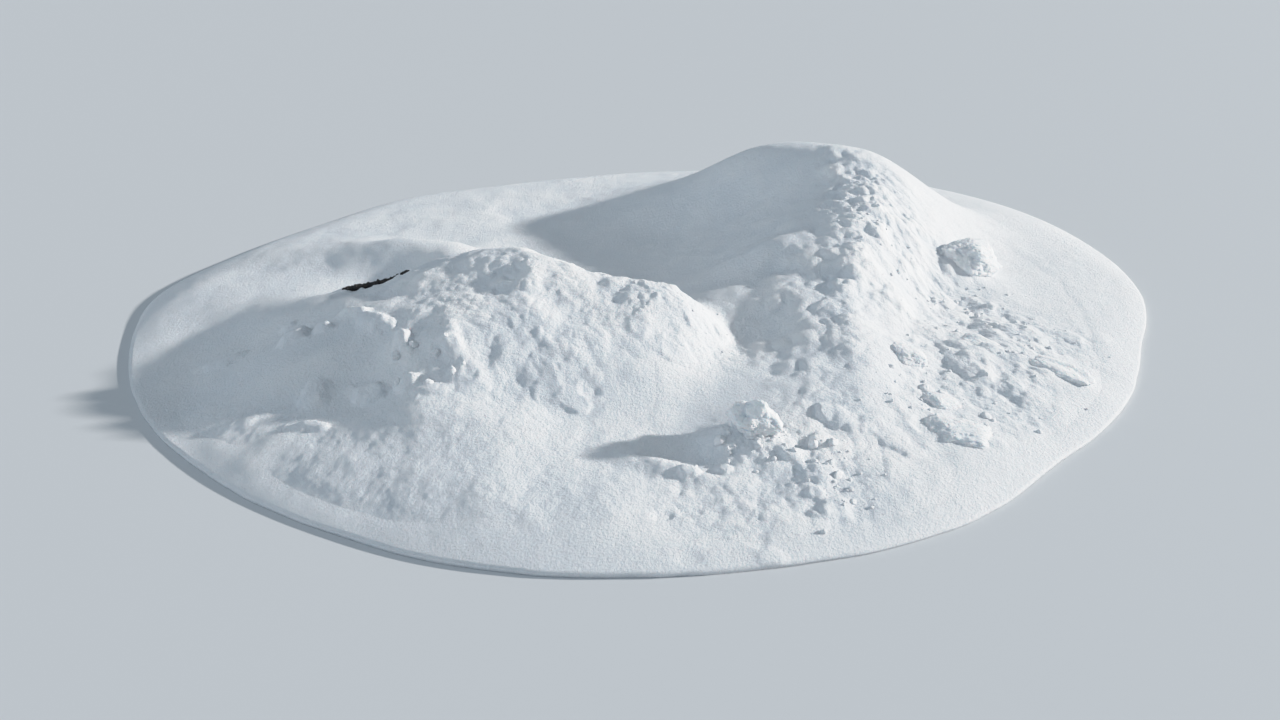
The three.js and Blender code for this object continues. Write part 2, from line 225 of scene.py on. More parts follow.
def ease(t):
    # 0 to 1 with level ends: 6t^5 - 15t^4 + 10t^3
    return t * t * t * (t * (6 * t - 15) + 10)


def noise(x, y, cell, seed):
    # lattice values joined by a smooth surface
    i, j = np.floor(x / cell), np.floor(y / cell)
    a, b = ease(x / cell - i), ease(y / cell - j)
    near = latticeValue(i, j, seed) * (1 - a) + latticeValue(i + 1, j, seed) * a
    far = latticeValue(i, j + 1, seed) * (1 - a) + latticeValue(i + 1, j + 1, seed) * a
    return near * (1 - b) + far * b


def plain(value):
    return value


def billow(value):
    # noise folded at zero: round bulges with creases between them
    return np.abs(value) * 2 - 0.75


def layeredNoise(x, y, cell, seed, layers, shape=plain):
    # noise at halving sizes and halving heights, each layer turned against the last
    layerTurn = 0.65
    total = 0
    for k in range(layers):
        c, s = math.cos(layerTurn * k), math.sin(layerTurn * k)
        total = total + 0.5 ** k * shape(noise(x * c + y * s, y * c - x * s, cell / 2 ** k, seed + k))
    return total


# Domes of clotted snow: how steep they are, how far their heights differ, how far they lean, and
# how far each wanders from the middle of its cell.
domes = {"steep": 1.1, "uneven": 0.45, "lean": 0.5, "wander": 0.42}


def cloddy(x, y, cell, seed):
    # each lattice cell holds one leaning dome at a random place; the surface is the highest of them:
    # uneven * height - steep * distance^2 + lean * slope
    i0, j0 = np.floor(x / cell), np.floor(y / cell)
    best = np.full(np.shape(x), -9.0)
    for di in (-1, 0, 1):
        for dj in (-1, 0, 1):
            i, j = i0 + di, j0 + dj
            dx = x / cell - i - 0.5 - domes["wander"] * latticeValue(i, j, seed)
            dy = y / cell - j - 0.5 - domes["wander"] * latticeValue(i, j, seed + 1)
            dome = domes["uneven"] * latticeValue(i, j, seed + 2) - domes["steep"] * (dx * dx + dy * dy)
            slope = latticeValue(i, j, seed + 3) * dx + latticeValue(i, j, seed + 4) * dy
            best = np.maximum(best, dome + domes["lean"] * slope)
    return best


def landHeight(x, y):
    # the forms that the solids have too: bed, mounds, swells, wide rolls and wide rubble
    inside = np.maximum(rimRadius(x, y) - np.hypot(x, y), 0)
    tall, low = ridgeHeight(mounds["tall"], y, x), ridgeHeight(mounds["low"], x, y)
    height = softMaximum(tall, low, mounds["blend"])
    for swell in swells:
        height = height + swell[2] * np.exp(-ownDistance(x, y, swell) ** 2)
    height = height * (1 - np.exp(-inside / bed["fadeLength"]))
    height = height + bed["edge"] + bed["rise"] * (1 - np.exp(-inside / bed["riseLength"]))
    clear = smoothstep(inside / bed["unevenBorder"])
    rolls = layeredNoise(x, y, unevenness["rollSize"], seeds["rolls"], 2)
    height = height + clear * unevenness["rollHeight"] * rolls
    field = np.minimum(fieldStrength(x, y, rubbleFields), 1)
    rubble = layeredNoise(x, y, unevenness["rubbleSize"], seeds["rubble"], 2, billow)
    return height + clear * unevenness["rubbleHeight"] * field * rubble


def landWithLumps(x, y):
    # the height at one place of the land with its plain lumps, where the clods and the branch lie
    x, y = np.array([float(x)]), np.array([float(y)])
    height = landHeight(x, y)
    start, length = lumpShape["plain"]
    for lump in lumps:
        height = height + lump[2] * (1 - smoothstep((ownDistance(x, y, lump) - start) / length))
    return float(height[0])


# Small lumps and pits that only the surface has: x, y, height, half length, half width, turn.
smallLumps = [
    (-1.34, -0.65, 0.011, 0.04, 0.03, 0), (-1.16, -0.80, 0.020, 0.05, 0.032, -20),
    (-1.06, -0.75, 0.018, 0.07, 0.03, -30), (-0.83, -0.98, 0.020, 0.06, 0.03, -62),
    (-0.79, -1.15, 0.016, 0.05, 0.034, 0), (-1.34, -1.20, 0.008, 0.10, 0.03, 14),
    (-1.10, -1.27, 0.011, 0.07, 0.03, -8), (-0.64, -1.06, 0.013, 0.06, 0.04, -40),
    (-0.70, -1.20, 0.009, 0.09, 0.03, 0), (0.00, -0.92, 0.009, 0.05, 0.06, 0),
    (0.30, -0.78, 0.016, 0.04, 0.04, 0), (1.43, -0.53, 0.024, 0.05, 0.05, 0),
    (1.31, -1.00, 0.024, 0.055, 0.04, 0), (1.16, -1.33, 0.016, 0.06, 0.03, -20),
    (0.53, -1.64, 0.008, 0.035, 0.03, 0), (0.54, -1.72, 0.008, 0.04, 0.03, 0),
    (0.37, -1.89, 0.006, 0.05, 0.04, 0), (0.47, -1.48, 0.016, 0.05, 0.036, -20),
    (0.58, -1.42, 0.012, 0.045, 0.035, -30), (0.26, -1.54, 0.012, 0.035, 0.025, 0),
    (0.15, -1.55, 0.011, 0.04, 0.025, 0), (0.64, -1.30, 0.014, 0.09, 0.05, -50),
    (0.15, -1.72, -0.004, 0.045, 0.030, 0), (0.07, -1.74, -0.006, 0.040, 0.030, 0),
    (0.14, -1.90, -0.004, 0.050, 0.032, 0), (0.33, -1.83, -0.004, 0.045, 0.030, 0),
    (-0.17, -1.17, -0.008, 0.045, 0.04, 0), (0.94, -1.29, -0.008, 0.05, 0.06, 20),
    (1.43, 0.22, -0.006, 0.06, 0.04, 0), (1.49, 0.26, -0.005, 0.05, 0.036, 0),
]

# Soft drifts on the surface, in the same way. Seven of them lie against the loose clods.
drifts = [
    (0.17, -0.72, 0.010, 0.20, 0.22, 0), (-0.39, -0.86, 0.026, 0.20, 0.18, 0),
    (0.42, -0.74, 0.018, 0.12, 0.14, 0), (0.26, -1.41, 0.028, 0.065, 0.07, 0),
    (-0.10, -0.66, 0.022, 0.22, 0.16, 0), (1.12, -0.62, 0.032, 0.22, 0.40, 10),
    (1.42, -0.50, 0.010, 0.18, 0.28, 0), (1.35, -0.02, 0.030, 0.17, 0.14, 24),
    (-0.36, -0.55, 0.020, 0.25, 0.16, -10), (1.05, -1.30, 0.028, 0.20, 0.125, 6),
    (1.53, -0.85, 0.022, 0.17, 0.095, -30), (1.26, -0.71, 0.010, 0.15, 0.095, -28),
    (0.95, -0.88, 0.016, 0.11, 0.088, -20), (1.02, -1.125, 0.015, 0.10, 0.07, -15),
]

# Steps where the crust broke and slid: start x, y, end x, y, drop, width of the break.
steps = [
    (-0.20, -0.54, -0.10, -0.80, 0.005, 0.070), (-0.04, -0.66, 0.04, -0.88, 0.005, 0.070),
    (0.84, -1.20, 0.92, -1.40, 0.008, 0.026),
]
stepShape = {
    "wander": 0.016,       # how far the break strays from its line, and the size of its bends
    "wanderSize": 0.07,
    "overrun": 0.25,       # how far it runs past its ends, and how it dies out, as shares of its length
    "fade": 0.35,
    "swell": 0.22,         # how far before the break the snow swells up to it
}

# How lumps stand. Noise warps their distance (size, depth, seed). They start to fall at one distance
# and meet the ground after a length, each given for the near side, where the snow broke away, with
# what the far side adds; a plain lump has its own pair. On the left they are gentler and higher, and
# on the right lower.
lumpShape = {
    "reach": 2.2,
    "warp": [(0.050, 0.26, 200), (0.022, 0.12, 300)],
    "start": (0.60, -0.40),
    "length": (0.42, 0.62),
    "plain": (0.3, 0.9),
    "left": {"x": -0.25, "over": 0.3, "gentler": 0.8, "higher": 0.45},
    "right": {"x": 0.9, "over": 0.2, "lower": 0.60},
}

# Kinds of broken surface. Each has fields (x, y, strength, half length, half width, turn), layers
# (kind, size, height, seed), fine layers that only the crusts and loose pieces follow, and where it
# is stretched, the turn of its grain and by how much.
textures = {
    "rubble": {
        "fields": [(1.14, -0.3, 1.0, 0.34, 0.78, 8), (1.45, -0.62, 0.9, 0.32, 0.28, -25),
                   (1.1, -1.05, 0.7, 0.38, 0.3, 0), (0.98, 0.3, 0.6, 0.16, 0.45, 10)],
        "grain": (-36, 1.25),
        "layers": [("billow", 0.15, 0.005, 61), ("cloddy", 0.075, 0.0065, 66),
                   ("cloddy", 0.04, 0.0042, 68), ("soft", 0.05, 0.0025, 33)],
        "fine": [("cloddy", 0.022, 0.0034, 71), ("soft", 0.016, 0.0012, 35)],
    },
    "crest": {
        "fields": [(0.97, 0.1, 1.0, 0.1, 0.5, 10), (0.84, -0.45, 1.0, 0.12, 0.35, -10),
                   (0.98, 0.45, 0.8, 0.14, 0.22, 0)],
        "layers": [("billow", 0.11, 0.01, 161), ("cloddy", 0.062, 0.008, 166)],
        "fine": [("cloddy", 0.028, 0.004, 171), ("soft", 0.018, 0.0012, 173)],
    },
    "mottle": {
        "fields": [(0.6, -0.85, 1.0, 0.22, 0.46, 0), (0.66, -0.38, 0.9, 0.14, 0.24, -10)],
        "layers": [("soft", 0.17, 0.01, 181), ("billow", 0.085, 0.005, 186)],
        "fine": [("cloddy", 0.034, 0.0026, 191), ("soft", 0.022, 0.001, 192)],
    },
    "nose": {
        "fields": [(0.12, -0.74, 1.0, 0.24, 0.2, 0), (0.22, -0.88, 0.7, 0.2, 0.14, 0)],
        "layers": [("soft", 0.11, 0.005, 41), ("cloddy", 0.052, 0.004, 81)],
        "fine": [("cloddy", 0.026, 0.0042, 86), ("billow", 0.016, 0.0012, 43)],
    },
    "flank": {
        "fields": [(-0.42, -0.9, 1.0, 0.44, 0.4, 10), (-0.3, -0.55, 0.8, 0.3, 0.2, 0)],
        "grain": (-50, 1.15),
        "layers": [("soft", 0.24, 0.013, 51), ("soft", 0.11, 0.009, 52), ("billow", 0.06, 0.003, 91)],
        "fine": [("soft", 0.03, 0.0014, 53), ("cloddy", 0.016, 0.0007, 96)],
    },
    "plateau": {
        "fields": [(-0.8, -0.45, 1.0, 0.45, 0.24, 0), (-0.45, -0.3, 0.8, 0.35, 0.16, 0)],
        "layers": [("soft", 0.2, 0.01, 201), ("soft", 0.07, 0.0048, 206)],
        "fine": [("soft", 0.026, 0.0014, 211)],
    },
    "front": {
        "fields": [(0.45, -1.6, 1.0, 0.42, 0.24, 8), (0.66, -1.36, 0.8, 0.22, 0.2, 0)],
        "layers": [("soft", 0.16, 0.006, 101), ("billow", 0.08, 0.003, 106)],
        "fine": [("cloddy", 0.04, 0.0016, 111), ("billow", 0.018, 0.0006, 116)],
    },
    "heap": {
        "fields": [(0.37, -1.42, 1.0, 0.16, 0.1, 0), (0.58, -1.56, 0.5, 0.1, 0.2, 0)],
        "layers": [("cloddy", 0.06, 0.007, 241)],
        "fine": [("cloddy", 0.028, 0.006, 246), ("billow", 0.014, 0.0015, 248)],
    },
    "left": {
        "fields": [(-1.25, -0.85, 1.0, 0.62, 0.42, 5)],
        "grain": (8, 2.6),
        "layers": [("soft", 0.14, 0.004, 121), ("cloddy", 0.11, 0.0015, 126)],
        "fine": [("soft", 0.03, 0.0006, 128)],
    },
    "crumbly": {
        "fields": [(-0.8, -1.06, 1.0, 0.34, 0.18, -20), (-1.1, -0.66, 0.6, 0.45, 0.1, -12)],
        "layers": [("soft", 0.12, 0.003, 132), ("cloddy", 0.085, 0.001, 131)],
        "fine": [("cloddy", 0.032, 0.0012, 136), ("soft", 0.02, 0.0006, 138)],
    },
    "apron": {
        "fields": [(-0.35, -1.58, 1.0, 1.1, 0.36, -5), (-1.2, -1.28, 0.8, 0.45, 0.22, -30)],
        "layers": [("soft", 0.34, 0.007, 141), ("soft", 0.12, 0.002, 146), ("soft", 0.055, 0.001, 149)],
        "fine": [("soft", 0.03, 0.0009, 147), ("cloddy", 0.014, 0.0004, 148)],
    },
    "backLeft": {
        "fields": [(-1.25, 0.25, 1.0, 0.75, 0.85, 0), (-0.2, 1.1, 0.8, 0.9, 0.5, 0)],
        "layers": [("soft", 0.28, 0.006, 221), ("soft", 0.08, 0.0016, 226)],
    },
    "shade": {
        "fields": [(0.42, 0.2, 1.0, 0.45, 0.85, 0)],
        "layers": [("soft", 0.09, 0.003, 251), ("soft", 0.045, 0.0012, 256)],
    },
    "shoulder": {
        "fields": [(1.13, -0.02, 1.0, 0.15, 0.44, 8)],
        "layers": [("cloddy", 0.085, 0.016, 261), ("billow", 0.05, 0.004, 266)],
        "fine": [("cloddy", 0.03, 0.005, 271)],
    },
    "channel": {
        "fields": [(0.1, -1.05, 1.0, 0.42, 0.16, -5), (0.28, -0.55, 0.8, 0.1, 0.3, 10)],
        "grain": (15, 1.8),
        "layers": [("soft", 0.12, 0.004, 231)],
        "fine": [("soft", 0.03, 0.0006, 236)],
    },
    "everywhere": {
        "fields": [(0.0, 0.0, 1.0, 9.0, 9.0, 0)],
        "layers": [("soft", 0.08, 0.0012, 151)],
        "fine": [("soft", 0.02, 0.0004, 156)],
    },
}


def layer(kind, x, y, size, seed):
    if kind == "cloddy":
        return cloddy(x, y, size, seed)
    return layeredNoise(x, y, size, seed, 2, billow if kind == "billow" else plain)


def textureHeight(x, y, fine):
    # every kind of broken surface, each strong in its own fields; fine adds the smallest layers
    clear = smoothstep((rimRadius(x, y) - np.hypot(x, y)) / bed["textureBorder"])
    total = np.zeros_like(x)
    for kind in textures.values():
        strength = np.minimum(fieldStrength(x, y, kind["fields"]), 1)
        near = strength > 0.01
        turn, stretch = kind.get("grain", (0, 1))
        c, s = cosSin(turn)
        u, v = (x[near] * c + y[near] * s) / stretch, y[near] * c - x[near] * s
        for style, size, height, seed in kind["layers"] + (kind.get("fine", []) if fine else []):
            total[near] += strength[near] * height * layer(style, u, v, size, seed)
    return total * clear


def lumpHeight(x, y, lump, number):
    # height * (1 - smoothstep((distance - start) / length))
    distance = ownDistance(x, y, lump)
    near = distance < lumpShape["reach"]
    own = distance[near]
    _, across = ownAxes(x[near], y[near], *lump[:2], *lump[3:])
    left, right = lumpShape["left"], lumpShape["right"]
    leftShare = smoothstep((left["x"] - lump[0]) / left["over"])
    rightShare = smoothstep((lump[0] - right["x"]) / right["over"])
    farShare = np.maximum(smoothstep(0.5 + 0.5 * across / (own + 0.05)), left["gentler"] * leftShare)
    warp = 1
    for size, depth, seed in lumpShape["warp"]:
        warp = warp + depth * noise(x[near], y[near], size, seed + number)
    high = (1 + left["higher"] * leftShare - right["lower"] * rightShare) * lump[2]
    start, length = (lumpShape[key][0] + lumpShape[key][1] * farShare for key in ("start", "length"))
    height = np.zeros_like(x)
    height[near] = high * (1 - smoothstep((own * warp - start) / length))
    return height


def stepHeight(x, y, step):
    # the snow right of the line swells up to it and drops sharply across it to the left
    x0, y0, x1, y1, drop, width = step
    length = math.hypot(x1 - x0, y1 - y0)
    tx, ty = (x1 - x0) / length, (y1 - y0) / length
    along = ((x - x0) * tx + (y - y0) * ty) / length
    stray = stepShape["wander"] * noise(x, y, stepShape["wanderSize"], seeds["steps"])
    across = (y - y0) * tx - (x - x0) * ty + stray
    overrun, fade, swell = stepShape["overrun"], stepShape["fade"], stepShape["swell"]
    ends = smoothstep((along + overrun) / fade) * smoothstep((1 + overrun - along) / fade)
    rise = smoothstep((swell - across) / swell) * smoothstep((across + width) / (2 * width))
    return drop * ends * rise


def surfaceHeight(x, y, fine=False):
    # the snow's real surface and its texture alone: the solids' forms, with ragged lumps, drifts,
    # breaks and texture
    height = landHeight(x, y)
    for number, lump in enumerate(lumps + smallLumps):
        height = height + lumpHeight(x, y, lump, number)
    for drift in drifts:
        height = height + drift[2] * np.exp(-ownDistance(x, y, drift) ** 2)
    for step in steps:
        height = height + stepHeight(x, y, step)
    texture = textureHeight(x, y, fine)
    return height + texture, texture


def camel(node):
    first, *rest = node.split("_")
    return first + "".join(word.capitalize() for word in rest)


def makePiece(name, points, quads, node, material, triangles=(), relief=None):
    # the drawing's points, shifted to the part, and their faces become a smooth mesh, which stands in
    # for a node where one is given
    mesh = bpy.data.meshes.new(name)
    faces = [np.asarray(quads, int).reshape(-1, 4), np.asarray(triangles, int).reshape(-1, 3)]
    loops = np.concatenate([f.ravel() for f in faces])
    sizes = np.concatenate([np.full(len(f), f.shape[1]) for f in faces])
    mesh.vertices.add(len(points))
    mesh.vertices.foreach_set("co", (points + shift).ravel())
    mesh.loops.add(len(loops))
    mesh.loops.foreach_set("vertex_index", loops.astype(np.int32))
    mesh.polygons.add(len(sizes))
    mesh.polygons.foreach_set("loop_start", (np.cumsum(sizes) - sizes).astype(np.int32))
    mesh.update(calc_edges=True)
    mesh.validate()
    mesh.shade_smooth()
    # relief sets the snow's painted shade: darker in the pits, lighter on the crests
    if relief is not None:
        mesh.attributes.new("relief", "FLOAT", "POINT").data.foreach_set("value", relief.astype(np.float32))
    mesh.materials.append(material)
    piece = bpy.data.objects.new(name, mesh)
    bpy.context.collection.objects.link(piece)
    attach(piece, "root")
    if node:
        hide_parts(node)
    return piece


# The drawing's middle is the middle of the bed; the frame's is the middle of the whole box.
turnsRound = np.radians(np.arange(0, 360, 0.25))
facings = np.array([np.cos(turnsRound), np.sin(turnsRound)])
ownRim = rimRadius(*facings) * facings
nodeLow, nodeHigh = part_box("snow_pile")
offsets = [(nodeLow[k] + nodeHigh[k]) / 2 - (ownRim[k].min() + ownRim[k].max()) / 2 for k in (0, 1)]
shift = np.array([*offsets, 0.0])
print("drawing to part", shift.round(5))


def sheetFaces(rows, columns):
    # two triangles in each cell, parted along the diagonal that points away from the middle
    index = np.arange(rows * columns).reshape(rows, columns)
    a, b, c, d = index[:-1, :-1], index[:-1, 1:], index[1:, 1:], index[1:, :-1]
    j, i = np.indices(a.shape)
    outward = (i < (columns - 1) / 2) == (j < (rows - 1) / 2)
    first = np.where(outward[..., None], np.stack([a, b, c], -1), np.stack([a, b, d], -1))
    second = np.where(outward[..., None], np.stack([a, c, d], -1), np.stack([b, c, d], -1))
    return np.concatenate([first.reshape(-1, 3), second.reshape(-1, 3)]), index


def closedSheet(top, foot):
    # a sheet of snow: its top grid, an upright wall round it down to foot, and a flat underside
    rows, columns = top.shape[:2]
    triangles, index = sheetFaces(rows, columns)
    rim = np.concatenate([index[0, :-1], index[:-1, -1], index[-1, :0:-1], index[:0:-1, 0]])
    points = top.reshape(-1, 3)
    wall = points[rim].copy()
    wall[:, 2] = foot
    middle = np.array([[*points[rim, :2].mean(0), foot]])
    low = len(points) + np.arange(len(rim))
    following = np.roll(np.arange(len(rim)), -1)
    quads = np.stack([rim, low, low[following], rim[following]], -1)
    base = np.stack([np.full(len(rim), len(points) + len(rim)), low[following], low], -1)
    return np.concatenate([points, wall, middle]), quads, np.concatenate([triangles, base])


def bedPoint(u, v):
    # the square's shells become rings about the heart, the outermost lying on a slightly broken rim
    ring = np.maximum(np.abs(u), np.abs(v))
    sideways = np.abs(u) >= np.abs(v)
    safe = np.where(ring == 0, 1, np.where(sideways, u, v))
    angle = np.where(sideways, math.pi / 4 * v / safe, math.pi / 2 - math.pi / 4 * u / safe)
    angle = angle + np.where(safe < 0, math.pi, 0)
    c, s = np.cos(angle), np.sin(angle)
    breaks = layeredNoise(bed["meanRadius"] * c, bed["meanRadius"] * s, bed["raggedSize"], seeds["rim"], 3)
    reach = rimRadius(c, s) - bed["raggedness"] * (0.5 + 0.5 * breaks)
    return (bed["heart"][0] + ring * (reach * c - bed["heart"][0]),
            bed["heart"][1] + ring * (reach * s - bed["heart"][1]))


def paintedShadeFromRelief(texture, extra, paintedShadeSpan):
    # what the snow's material reads for its painted shade: pits below 0.5 and crests above it, with 0.5 at
    # extra points
    return np.concatenate([np.clip(0.5 + texture.ravel() / paintedShadeSpan, 0, 1), np.full(extra, 0.5)])


def snowSheet(name, node, x, y, z, texture, foot):
    points, quads, triangles = closedSheet(np.stack([x, y, z], -1), foot)
    # painted shade from the texture: darker in its pits, lighter on its crests
    shown = paintedShadeFromRelief(texture, len(points) - x.size, crust["paintedShadeSpan"])
    return makePiece(name, points, quads, node, snowFinish, triangles, shown)


def buildBody():
    shells = np.linspace(-1, 1, bed["cells"] + 1)
    x, y = bedPoint(*np.meshgrid(shells, shells))
    z, texture = surfaceHeight(x, y)
    z = z + branchCover(x, y) - crust["dip"] * crustShare(x, y, crust["sheets"])
    return snowSheet("snowBody", "snow_pile", x, y, z, texture, 0.0)


# Finely broken crust where the snow was pushed hardest: middle x and y, half length, half width,
# turn in degrees, cells along and across. It lies on the body, which dips a little under it, and
# sinks into the body at its border. Where two overlap, the later one dips under the earlier.
crust = {
    "lift": 0.001,
    "sink": 0.004,
    "dip": 0.006,
    "border": 0.12,
    "ragged": 0.02,            # how far the border strays, and the size of its bends
    "raggedSize": 0.12,
    "corner": 0.22,            # how much of each corner is rounded off
    "rimGap": 0.03,            # kept free along the bed's rim
    "rimFade": (0.04, 0.10),   # where a crust starts beside the rim, and over what length
    "thickness": 0.01,         # under its lowest point, though never below lowestFoot
    "lowestFoot": 0.004,
    # the texture height below spans the snow's colours, from painted shade in the pits to the crests
    "paintedShadeSpan": 0.03,          # texture height that spans the snow's colours
    "sheets": {
        "rubbleCrust": (1.24, -0.42, 0.96, 0.60, 82, 370, 240),
        "noseCrust": (0.14, -0.78, 0.36, 0.32, 0, 160, 142),
        "flankCrust": (-0.44, -0.98, 0.56, 0.46, 0, 230, 190),
        "frontCrust": (0.48, -1.52, 0.56, 0.38, 6, 230, 156),
        "leftCrust": (-1.16, -0.92, 0.56, 0.42, 5, 190, 140),
        "apronCrust": (-0.52, -1.48, 0.78, 0.34, -4, 300, 130),
        "plateauCrust": (-0.66, -0.44, 0.62, 0.26, 6, 190, 84),
    },
}


def crustShare(x, y, sheets):
    # 1 where a crust covers the snow, falling to 0 at its rounded border and at the bed's rim:
    # smoothstep(margin / border), where margin is 1 - cbrt(|u|^3 + |v|^3) in metres
    share = np.zeros_like(x)
    rimStart, rimLength = crust["rimFade"]
    offRim = smoothstep((rimRadius(x, y) - np.hypot(x, y) - rimStart) / rimLength)
    ragged = crust["ragged"] * noise(x, y, crust["raggedSize"], seeds["crustBorder"])
    for sheet in sheets.values():
        u, v = ownAxes(x, y, *sheet[:5])
        margin = (1 - np.cbrt(np.abs(u) ** 3 + np.abs(v) ** 3)) * min(sheet[2:4])
        share = np.maximum(share, smoothstep((margin + ragged) / crust["border"]) * offRim)
    return share


def buildCrust(name):
    # a grid of its own, finer than the body's, at the height of the same surface
    cx, cy, halfLength, halfWidth, turn, along, across = crust["sheets"][name]
    c, s = cosSin(turn)
    u, v = np.meshgrid(np.linspace(-1, 1, along + 1), np.linspace(-1, 1, across + 1))
    # rounded corners, so that the border is a smooth loop, and nothing reaches the bed's rim
    u, v = u * np.sqrt(1 - crust["corner"] * v * v), v * np.sqrt(1 - crust["corner"] * u * u)
    x = cx + u * halfLength * c - v * halfWidth * s
    y = cy + u * halfLength * s + v * halfWidth * c
    inward = np.minimum(1, (rimRadius(x, y) - crust["rimGap"]) / np.hypot(x, y))
    x, y = x * inward, y * inward
    order = list(crust["sheets"])
    earlier = {key: crust["sheets"][key] for key in order[:order.index(name)]}
    share = crustShare(x, y, {name: crust["sheets"][name]})
    coarse, _ = surfaceHeight(x, y)
    z, texture = surfaceHeight(x, y, fine=True)
    z = coarse + (z - coarse) * share + crust["lift"] * share - crust["sink"] * (1 - share)
    z = z + branchCover(x, y) - crust["dip"] * crustShare(x, y, earlier)
    foot = max(z.min() - crust["thickness"], crust["lowestFoot"])
    return snowSheet(name, None, x, y, z, texture, foot)


# Loose clods. Each stands where its solid does: x, y, half sizes, lift of its middle, turn and
# tilt, seed, roughness, how far its top is drawn up to a peak, and the height of the knobs on it.
clods = {
    "facets": (12, 10, 0.14),  # how many, how crisp, and how far their distances differ
    "rows": 120,
    "columns": 160,
    "wave": 0.02,
    "relief": [("plain", 0.55, 0.030, 600), ("billow", 0.30, 0.026, 620), ("billow", 0.15, 0.020, 640),
               ("billow", 0.075, 0.012, 660)],
    # the relief below spans the snow's colours, from painted shade in the hollows to the knobs
    "paintedShadeSpan": 0.08,
    "buried": 0.008,           # how deep its underside may lie in the snow
    "places": {
        "upper_chunk": (1.420, 0.000, 0.135, 0.112, 0.100, 0.038, 24, 12, 3, 1.6, 0.0, 0.10),
        "front_clod": (0.360, -1.390, 0.086, 0.064, 0.056, 0.026, -12, 6, 8, 1.4, 0.5, 0.34),
        "low_slab": (1.060, -1.300, 0.150, 0.100, 0.052, 0.006, 6, 6, 5, 1.4, -0.25, 0.12),
        "right_clod": (1.540, -0.850, 0.132, 0.074, 0.036, 0.004, -30, 8, 12, 1.3, -0.25, 0.12),
        "middle_slab": (1.270, -0.710, 0.120, 0.076, 0.036, 0.005, -28, 4, 17, 1.3, -0.25, 0.12),
        "inner_clod": (0.955, -0.880, 0.086, 0.070, 0.040, 0.006, -20, 18, 21, 1.2, 0.0, 0.10),
        "small_clod": (1.030, -1.125, 0.080, 0.056, 0.034, 0.006, -15, 10, 26, 1.2, 0.0, 0.10),
    },
}


def ringFaces(rows, columns):
    # quads between rings of points, and fans from the first and last ring to the two points after them
    index = np.arange(rows * columns).reshape(rows, columns)
    following = np.roll(index, -1, axis=1)
    quads = np.stack([index[:-1], index[1:], following[1:], following[:-1]], -1).reshape(-1, 4)
    first = np.stack([np.full(columns, rows * columns), index[0], following[0]], -1)
    last = np.stack([np.full(columns, rows * columns + 1), following[-1], index[-1]], -1)
    return quads, np.concatenate([first, last])


def ballGrid(rows, columns):
    # directions in rings from pole to pole, with one point at each pole, and their faces
    up = np.cos(np.pi * np.arange(1, rows) / rows)[:, None]
    angle = 2 * np.pi * np.arange(columns)[None, :] / columns
    level = np.sqrt(1 - up * up)
    rings = np.stack(np.broadcast_arrays(level * np.cos(angle), level * np.sin(angle), up), -1)
    return np.concatenate([rings.reshape(-1, 3), [[0, 0, 1], [0, 0, -1]]]), *ringFaces(rows - 1, columns)


def noise3(points, cell, seed):
    # plane noise in layers one cell apart, joined smoothly up the third axis
    x, y, z = points.T
    k = np.floor(z / cell)
    t = ease(z / cell - k)
    return noise(x, y, cell, seed + 17 * k) * (1 - t) + noise(x, y, cell, seed + 17 * (k + 1)) * t


def turned(points, tilt, turn):
    # tilted about Y, then turned about Z
    (ca, sa), (cb, sb) = cosSin(tilt), cosSin(turn)
    x, y, z = points.T
    x, z = x * ca + z * sa, z * ca - x * sa
    return np.stack([x * cb - y * sb, x * sb + y * cb, z], -1)


def spiral(count, offset):
    # directions spread evenly over a ball, each a golden angle of 2.4 past the last
    k = np.arange(count)
    up = 1 - 2 * (k + 0.5) / count
    level = np.sqrt(1 - up * up)
    return np.stack([level * np.cos(2.4 * k + offset), level * np.sin(2.4 * k + offset), up], -1)


def facetReach(directions, seed, count, crispness, spread):
    # a ball cut back by flat breaks, joined softly: sum(nearness^crispness)^(-1 / crispness)
    distance = 0.88 + spread * latticeValue(np.arange(count), 0, seed)
    nearness = np.maximum(directions @ spiral(count, seed).T / distance, 0)
    return (nearness ** crispness).sum(1) ** (-1 / crispness)


# Knobs on a ball: how many, how far they wander, and their widths and heights with their spread.
knobShape = {"count": 60, "wander": 0.5, "width": (0.42, 0.14), "height": (0.75, 0.25)}


def knobbly(directions, seed):
    # round caps of several widths spread over a ball, the highest one showing at each place:
    # height * sqrt(1 - apart / width), from 0 to about 1
    k = np.arange(knobShape["count"])
    (width, widthSpread), (height, heightSpread) = knobShape["width"], knobShape["height"]
    facing = spiral(len(k), knobShape["wander"] * latticeValue(k, 1, seed))
    width = 1 - np.cos(width + widthSpread * latticeValue(k, 2, seed))
    height = height + heightSpread * latticeValue(k, 3, seed)
    apart = 1 - directions @ facing.T
    return (height * np.sqrt(np.clip(1 - apart / width, 0, 1))).max(1)


